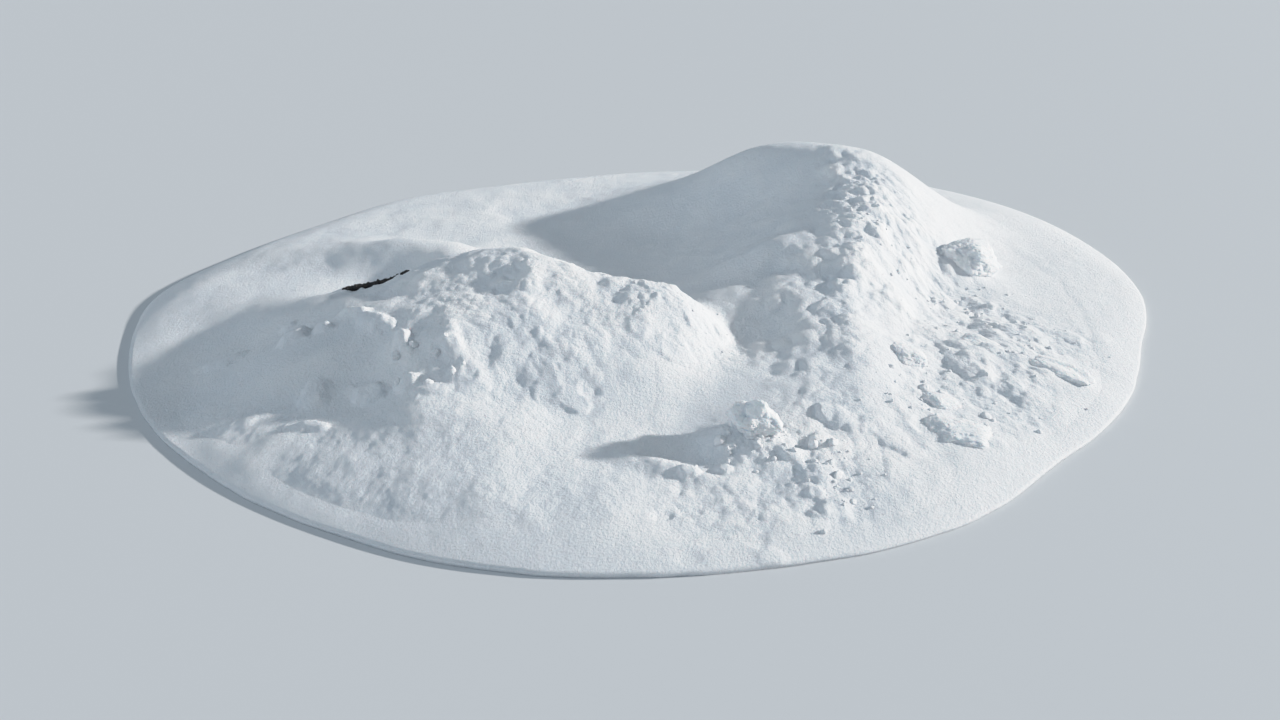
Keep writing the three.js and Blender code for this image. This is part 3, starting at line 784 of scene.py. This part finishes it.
def buildClod(node):
    # a faceted ball with waves, relief and knobs: half size * reach * (1 + wave + relief)
    x, y, a, b, c, lift, turn, tilt, seed, rough, peak, knobs = clods["places"][node]
    directions, quads, triangles = ballGrid(clods["rows"], clods["columns"])
    reach = facetReach(directions, seed, *clods["facets"])
    px, py, pz = directions.T
    wave = np.sin(6 * px + seed) + np.sin(7 * py + 2 * seed) + np.sin(8 * pz + 3 * seed)
    relief = knobs * (knobbly(directions, seed) - 0.5)
    for kind, size, height, first in clods["relief"]:
        own = noise3(directions, size, first + seed)
        relief = relief + rough * height * (billow(own) if kind == "billow" else own)
    points = directions * (reach * (1 + clods["wave"] * wave + relief))[:, None] * np.array([a, b, c])
    points[:, 2] *= np.where(pz > 0, 1 + peak * (0.5 - np.abs(py)), 1)
    points = turned(points, tilt, turn) + np.array([x, y, landWithLumps(x, y) + lift])
    ground = surfaceHeight(points[:, 0], points[:, 1])[0]
    points[:, 2] = np.maximum(points[:, 2], ground - clods["buried"])
    # painted shade from the clod's relief: darker in its hollows, lighter on its knobs
    shown = paintedShadeFromRelief(relief, 0, clods["paintedShadeSpan"])
    return makePiece(camel(node), points, quads, node, packedFinish, triangles, shown)


# Nodules and crumbs: pieces in each field (middle x and y, half length, half width, turn in degrees,
# count), their sizes, how far they stand up in their own sizes, and the rings and sides of one.
looseSnow = {
    "nodules": {
        "rings": 12, "sides": 16, "smallest": 0.009, "largest": 0.024, "power": 2.0, "lift": 0.0,
        "seed": 11,
        "fields": [(0.38, -1.42, 0.14, 0.07, 0, 14), (0.61, -1.54, 0.07, 0.20, 5, 9),
                   (1.30, -0.42, 0.30, 0.44, 8, 10), (-0.78, -1.08, 0.30, 0.10, -20, 9),
                   (1.02, -1.12, 0.22, 0.16, 0, 7)]},
    "crumbs": {
        "rings": 5, "sides": 7, "smallest": 0.003, "largest": 0.010, "power": 2.5, "lift": 0.18,
        "seed": 12,
        "fields": [(0.24, -0.80, 0.16, 0.20, 0, 12), (0.34, -1.42, 0.22, 0.12, 0, 40),
                   (0.61, -1.54, 0.12, 0.24, 5, 30), (0.95, -0.10, 0.12, 0.42, 12, 30),
                   (1.32, -0.45, 0.34, 0.55, 8, 120), (1.00, -1.12, 0.30, 0.22, 0, 40)]},
}
# What the loose pieces share. Their scatter is a share of a field's half sizes.
loosePiece = {"kinds": 16, "facets": (9, 14, 0.2), "stretch": (0.7, 1.25), "flatness": 0.8,
              "scatter": 0.48, "rimGap": 0.06, "relief": 0.6}


def buildLoose(name):
    # many small faceted balls in one mesh, each with its own size, turn and depth in the snow
    group = looseSnow[name]
    chance = np.random.default_rng(group["seed"])
    directions, quads, triangles = ballGrid(group["rings"], group["sides"])
    places = []
    for cx, cy, halfLength, halfWidth, turn, count in group["fields"]:
        c, s = cosSin(turn)
        u, v = chance.normal(0, loosePiece["scatter"], (2, count))
        u, v = u * halfLength, v * halfWidth
        places.append(np.stack([cx + u * c - v * s, cy + u * s + v * c], -1))
    places = np.concatenate(places)
    places = places[np.hypot(*places.T) < rimRadius(*places.T) - loosePiece["rimGap"]]
    count = len(places)
    growth = chance.random(count) ** group["power"]
    size = group["smallest"] + (group["largest"] - group["smallest"]) * growth
    shapes = np.stack([directions * facetReach(directions, seed, *loosePiece["facets"])[:, None]
                       for seed in range(loosePiece["kinds"])])
    form = shapes[chance.integers(0, loosePiece["kinds"], count)]
    form = form * chance.uniform(*loosePiece["stretch"], (count, 1, 3)) * size[:, None, None]
    turn = chance.uniform(0, 2 * np.pi, count)[:, None]
    c, s = np.cos(turn), np.sin(turn)
    middle = surfaceHeight(places[:, 0], places[:, 1], fine=True)[0] + group["lift"] * size
    points = np.stack([places[:, :1] + form[..., 0] * c - form[..., 1] * s,
                       places[:, 1:] + form[..., 0] * s + form[..., 1] * c,
                       middle[:, None] + form[..., 2] * loosePiece["flatness"]], -1).reshape(-1, 3)
    first = (np.arange(count) * len(directions))[:, None, None]
    quads = (quads[None] + first).reshape(-1, 4)
    triangles = (triangles[None] + first).reshape(-1, 3)
    # every loose piece reads as a little raised, so it takes less of the painted shade of the pits
    shown = np.full(len(points), loosePiece["relief"])
    print(name, count, "pieces,", 2 * len(quads) + len(triangles), "triangles")
    return makePiece(name, points, quads, None, snowFinish, triangles, shown)


# Branch: a bent stick whose lower half lies in the low mound. Snow lies over it at each covered
# place, which is given as a share of its length, with a half length and a depth.
branch = {
    "route": [(-1.20, -0.365), (-1.15, -0.350), (-1.09, -0.330), (-1.03, -0.312), (-0.98, -0.305),
              (-0.93, -0.305)],
    "length": 0.30,
    "radius": 0.013,
    "steps": 200,
    "sides": 28,
    "knots": [(0.22, 1.2), (0.50, 2.2), (0.68, 0.9)],   # place, and the side it faces in radians
    "knotHeight": 0.35,
    "knotLength": 0.018,
    "endPower": 26,
    "bark": (0.16, 0.16, 0.24),                         # ridges, flakes and swells, in radii
    "covered": [(0.80, 0.030, 0.014), (0.46, 0.016, 0.005), (0.05, 0.020, 0.010), (0.28, 0.010, 0.006),
                (0.63, 0.010, 0.006)],
    "near": (-1.07, -0.27, 0.30, 0.20),                 # middle and half sizes of the snow round it
    "trough": (0.005, 0.035),                           # depth and width of the trough it lies in
    "cover": (0.006, 0.030),                            # least depth and width of a covered place
    "samples": 60,
}


def branchMiddle(t):
    # smooth curve through the route's points, at the height of the snow
    route = np.array([(x, y, landWithLumps(x, y)) for x, y in branch["route"]])
    route = np.vstack([2 * route[0] - route[1], route, 2 * route[-1] - route[-2]])
    along = np.clip(t, 0, 1) * (len(branch["route"]) - 1)
    i = np.minimum(np.floor(along).astype(int), len(branch["route"]) - 2)
    return curveThrough(*(route[i + k] for k in range(4)), (along - i)[:, None])


def branchCover(x, y):
    # the snow round the branch: a slight trough, and small drifts that lie across it
    height = np.zeros_like(x)
    cx, cy, halfLength, halfWidth = branch["near"]
    near = (np.abs(x - cx) < halfLength) & (np.abs(y - cy) < halfWidth)
    if not near.any():
        return height
    middle = branchMiddle(np.linspace(0, 1, branch["samples"]))
    gaps = np.hypot(x[near][:, None] - middle[:, 0], y[near][:, None] - middle[:, 1])
    nearest = gaps.argmin(1)
    gap = gaps.min(1)
    flat = middle[nearest, 2] - surfaceHeight(x[near], y[near])[0]
    (troughDepth, troughWidth), (leastDepth, coverWidth) = branch["trough"], branch["cover"]
    height[near] = (flat - troughDepth) * np.exp(-(gap / troughWidth) ** 2)
    for place, halfLength, depth in branch["covered"]:
        along = (nearest / (branch["samples"] - 1) - place) * branch["length"]
        own = np.exp(-(along / halfLength) ** 4) * np.exp(-(gap / coverWidth) ** 2)
        height[near] += (depth + leastDepth) * own
    return height


def buildBranch():
    # a tube along the route: radius * (1 + bark + knots) * ends, where the ends close as a blunt oval
    middle = branchMiddle(np.linspace(0, 1, branch["steps"]))
    along = np.gradient(middle, axis=0)
    along /= np.linalg.norm(along, axis=1)[:, None]
    side = np.cross(along, [0, 0, 1])
    side /= np.linalg.norm(side, axis=1)[:, None]
    over = np.cross(side, along)
    t, angle = np.meshgrid(np.linspace(0, 1, branch["steps"]),
                           2 * np.pi * np.arange(branch["sides"]) / branch["sides"], indexing="ij")
    c, s = np.cos(angle), np.sin(angle)
    ridges, flakes, swells = branch["bark"]
    bark = (ridges * billow(noise(7 * t + 0.4 * c, 1.5 * s + 4, 0.16, 701))
            + flakes * noise(26 * t, 2 * c + 3 * s, 0.5, 711) + swells * noise(9 * t, c + 9, 0.6, 721))
    knots = sum(branch["knotHeight"] * np.exp(-((t - place) / branch["knotLength"]) ** 2)
                * np.clip(np.cos(angle - facing), 0, 1) for place, facing in branch["knots"])
    ends = np.sqrt(np.clip(1 - np.abs(2 * t - 1) ** branch["endPower"], 0, 1))
    radius = (branch["radius"] * (1.0 + bark + knots) * ends)[..., None]
    points = middle[:, None] + radius * (c[..., None] * side[:, None] + s[..., None] * over[:, None])
    points = np.concatenate([points[1:-1].reshape(-1, 3), middle[[0]], middle[[-1]]])
    quads, triangles = (np.roll(faces[:, ::-1], 1, axis=1)    # turned over, to face outwards
                        for faces in ringFaces(branch["steps"] - 2, branch["sides"]))
    return makePiece("branch", points, quads, "buried_branch", barkFinish, triangles)


# Snow finishes: colour of the painted shade in the pits and colour on the crests, coarse and fine grain,
# depth of the grain, how far the wide mottle moves the colour and how far painted shade darkens the gaps
# between the fine crystals, roughness, and light passed inside.
snowLooks = {
    "settledSnow": {
        "pit": (0.79, 0.825, 0.865), "crest": (0.95, 0.958, 0.968), "coarse": 34, "fine": 170,
        "grainDepth": 0.0085, "mottle": 0.35, "paintedCrystalShade": 0.9, "roughness": 0.85, "scatter": 0.12},
    "packedSnow": {
        "pit": (0.80, 0.835, 0.870), "crest": (0.95, 0.960, 0.970), "coarse": 40, "fine": 180,
        "grainDepth": 0.0070, "mottle": 0.35, "paintedCrystalShade": 0.9, "roughness": 0.8, "scatter": 0.3},
}


def addNode(nodes, kind, values):
    node = nodes.new(kind)
    for socket, value in values.items():
        node.inputs[socket].default_value = value
    return node


def mathNode(nodes, operation, factor):
    node = addNode(nodes, "ShaderNodeMath", {1: factor})
    node.operation = operation
    return node


def wire(source, output, target, socket):
    source.id_data.links.new(source.outputs[output], target.inputs[socket])


def newMaterial(name, values):
    material = bpy.data.materials.new(name)
    material.use_nodes = True
    shader = material.node_tree.nodes["Principled BSDF"]
    for socket, value in values.items():
        shader.inputs[socket].default_value = value
    return material, material.node_tree.nodes, shader


def makeGrainGroup():
    # settled snow's grain at one scale: a soft unevenness with sharp-edged crystals on it
    group = bpy.data.node_groups.new("snowGrain", "ShaderNodeTree")
    group.interface.new_socket("Vector", in_out="INPUT", socket_type="NodeSocketVector")
    for side, labels in (("INPUT", ("Scale", "Crystals")), ("OUTPUT", ("Height", "Mottle"))):
        for label in labels:
            group.interface.new_socket(label, in_out=side, socket_type="NodeSocketFloat")
    nodes = group.nodes
    given, result = nodes.new("NodeGroupInput"), nodes.new("NodeGroupOutput")
    soft = addNode(nodes, "ShaderNodeTexNoise", {"Detail": 5, "Roughness": 0.72})
    wide = addNode(nodes, "ShaderNodeTexNoise", {"Detail": 2})
    cells = nodes.new("ShaderNodeTexVoronoi")
    cells.feature = "SMOOTH_F1"
    cells.inputs["Smoothness"].default_value = 0.35
    finer, wider = mathNode(nodes, "MULTIPLY", 3.0), mathNode(nodes, "MULTIPLY", 0.12)
    mix = nodes.new("ShaderNodeMix")
    for target in (soft, cells, wide):
        wire(given, "Vector", target, "Vector")
    for target, socket in ((soft, "Scale"), (finer, 0), (wider, 0)):
        wire(given, "Scale", target, socket)
    wire(finer, 0, cells, "Scale")
    wire(wider, 0, wide, "Scale")
    wire(given, "Crystals", mix, "Factor")
    wire(soft, "Fac", mix, "A")
    wire(cells, "Distance", mix, "B")
    wire(mix, "Result", result, "Height")
    wire(wide, "Fac", result, "Mottle")
    return group


def rampBetween(nodes, first, second, low, high):
    ramp = nodes.new("ShaderNodeValToRGB")
    for element, place, colour in zip(ramp.color_ramp.elements, (low, high), (first, second)):
        element.position, element.color = place, (*colour, 1)
    return ramp


def makeSnow(name):
    # colour from painted shade in the pits to lighter crests, with painted shade between the fine crystals,
    # coarse lumps under fine crystals, and a little light inside
    look = snowLooks[name]
    material, nodes, shader = newMaterial(name, {
        "Roughness": look["roughness"], "Specular IOR Level": 0.3, "IOR": 1.31, "Subsurface Scale": 0.014,
        "Subsurface Weight": look["scatter"], "Subsurface Radius": (0.6, 0.9, 1.0)})
    place, relief = nodes.new("ShaderNodeTexCoord"), nodes.new("ShaderNodeAttribute")
    relief.attribute_name = "relief"
    grains = []
    for scale, crystals in ((look["coarse"], 0.25), (look["fine"], 0.55)):
        grain = nodes.new("ShaderNodeGroup")
        grain.node_tree = grainGroup
        grain.inputs["Scale"].default_value, grain.inputs["Crystals"].default_value = scale, crystals
        wire(place, "Object", grain, "Vector")
        grains.append(grain)
    coarse, fine = grains
    # painted shade: the texture's relief, lower in its pits, with a wide random mottle added
    depth = mathNode(nodes, "MULTIPLY_ADD", look["mottle"])       # pits and crests, blurred
    wire(coarse, "Mottle", depth, 0)
    wire(relief, "Fac", depth, 2)
    # painted shade in the gaps between crystals, taken from the fine grain's height
    paintedCrystalShade = mathNode(nodes, "MULTIPLY_ADD", -look["paintedCrystalShade"])   # the gaps between crystals are darker
    wire(fine, "Height", paintedCrystalShade, 0)
    wire(depth, 0, paintedCrystalShade, 2)
    # the ramp runs from the bluish painted shade of the pits to the white of the crests
    colours = rampBetween(nodes, look["pit"], look["crest"], 0.0, 0.6)
    wire(paintedCrystalShade, 0, colours, "Fac")
    wire(colours, "Color", shader, "Base Color")
    low, high = (addNode(nodes, "ShaderNodeBump", {"Strength": 1.0, "Distance": look["grainDepth"] * share})
                 for share in (1.0, 0.40))
    wire(coarse, "Height", low, "Height")
    wire(fine, "Height", high, "Height")
    wire(low, "Normal", high, "Normal")
    wire(high, "Normal", shader, "Normal")
    return material


def makeBark():
    # wet bark: nearly black in its furrows and brown on its ridges, which run along it
    material, nodes, shader = newMaterial("bark", {"Roughness": 0.62})
    place = nodes.new("ShaderNodeTexCoord")
    stretch = addNode(nodes, "ShaderNodeMapping", {"Scale": (30, 110, 110)})
    ridges = addNode(nodes, "ShaderNodeTexNoise", {"Scale": 1.0, "Detail": 5})
    colours = rampBetween(nodes, (0.005, 0.006, 0.008), (0.050, 0.036, 0.027), 0.40, 0.78)
    bump = addNode(nodes, "ShaderNodeBump", {"Distance": 0.002})
    wire(place, "Object", stretch, "Vector")
    wire(stretch, "Vector", ridges, "Vector")
    wire(ridges, "Fac", colours, "Fac")
    wire(colours, "Color", shader, "Base Color")
    wire(ridges, "Fac", bump, "Height")
    wire(bump, "Normal", shader, "Normal")
    return material


grainGroup = makeGrainGroup()
snowFinish, packedFinish = makeSnow("settledSnow"), makeSnow("packedSnow")
barkFinish = makeBark()
print("materials")

print("snow body", len(buildBody().data.polygons), "faces")
for sheetName in crust["sheets"]:
    print(sheetName, len(buildCrust(sheetName).data.polygons), "faces")
for nodeName in clods["places"]:
    buildClod(nodeName)
print("clods", len(clods["places"]))
for looseName in looseSnow:
    buildLoose(looseName)
buildBranch()
print("branch")

# Floor, lamps (azimuth turned from +X towards +Y), sky and camera.
stage = {
    "floorSize": 60.0,
    "floorDrop": 0.001,
    "floorColour": (0.62, 0.64, 0.66),
    "lamps": {
        "lowSun": {"strength": 5.45, "angle": 2.5, "azimuth": 8, "elevation": 16,
                   "colour": (1.0, 0.975, 0.94)},
        "softFill": {"strength": 0.97, "angle": 80, "azimuth": 204, "elevation": 18,
                     "colour": (0.84, 0.99, 1.13)}},
    "sky": {"colour": (0.85, 0.99, 1.12), "strength": 0.290},
    "camera": {"place": (0.0, -4.46, 1.965), "down": 27, "lens": 31.1625, "film": 36},
}

floorMaterial, _, _ = newMaterial("paleFloor", {"Base Color": (*stage["floorColour"], 1), "Roughness": 0.9})
half = stage["floorSize"] / 2
corners = [(-half, -half, 0), (half, -half, 0), (half, half, 0), (-half, half, 0)]
floorMesh = bpy.data.meshes.new("floor")
floorMesh.from_pydata(corners, [], [(0, 1, 2, 3)])
floorMesh.materials.append(floorMaterial)
floor = bpy.data.objects.new("floor", floorMesh)
floor.location.z = -stage["floorDrop"]
bpy.context.collection.objects.link(floor)
floor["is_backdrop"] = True

for lampName, lamp in stage["lamps"].items():
    light = bpy.data.lights.new(lampName, "SUN")
    light.energy = lamp["strength"]
    light.angle = math.radians(lamp["angle"])
    light.color = lamp["colour"]
    lampObject = bpy.data.objects.new(lampName, light)
    (ca, sa), (ce, se) = cosSin(lamp["azimuth"]), cosSin(lamp["elevation"])
    lampObject.rotation_euler = Vector((ce * ca, ce * sa, se)).to_track_quat("Z", "Y").to_euler()
    bpy.context.collection.objects.link(lampObject)

world = bpy.data.worlds.new("softSky")
world.use_nodes = True
sky = world.node_tree.nodes["Background"]
sky.inputs["Color"].default_value = (*stage["sky"]["colour"], 1)
sky.inputs["Strength"].default_value = stage["sky"]["strength"]
bpy.context.scene.world = world

cameraData = bpy.data.cameras.new("camera")
cameraData.lens = stage["camera"]["lens"]
cameraData.sensor_width = stage["camera"]["film"]
camera = bpy.data.objects.new("camera", cameraData)
camera.location = Vector(stage["camera"]["place"]) + Vector(shift)
camera.rotation_euler = (math.radians(90 - stage["camera"]["down"]), 0, 0)
bpy.context.collection.objects.link(camera)
bpy.context.scene.camera = camera

# Bright snow rolls off softly towards white instead of clipping.
view = bpy.context.scene.view_settings
view.view_transform = "Standard"
view.use_curve_mapping = True
view.curve_mapping.white_level = (2, 2, 2)
shoulder = view.curve_mapping.curves[3]
for brightness, shown in ((0.25, 0.50), (0.425, 0.78), (0.60, 0.90)):
    shoulder.points.new(brightness, shown)
shoulder.points[-1].location = (1, 0.985)
view.curve_mapping.update()

plain = [[list(corner) for corner in box] for box in (cadBox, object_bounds())]
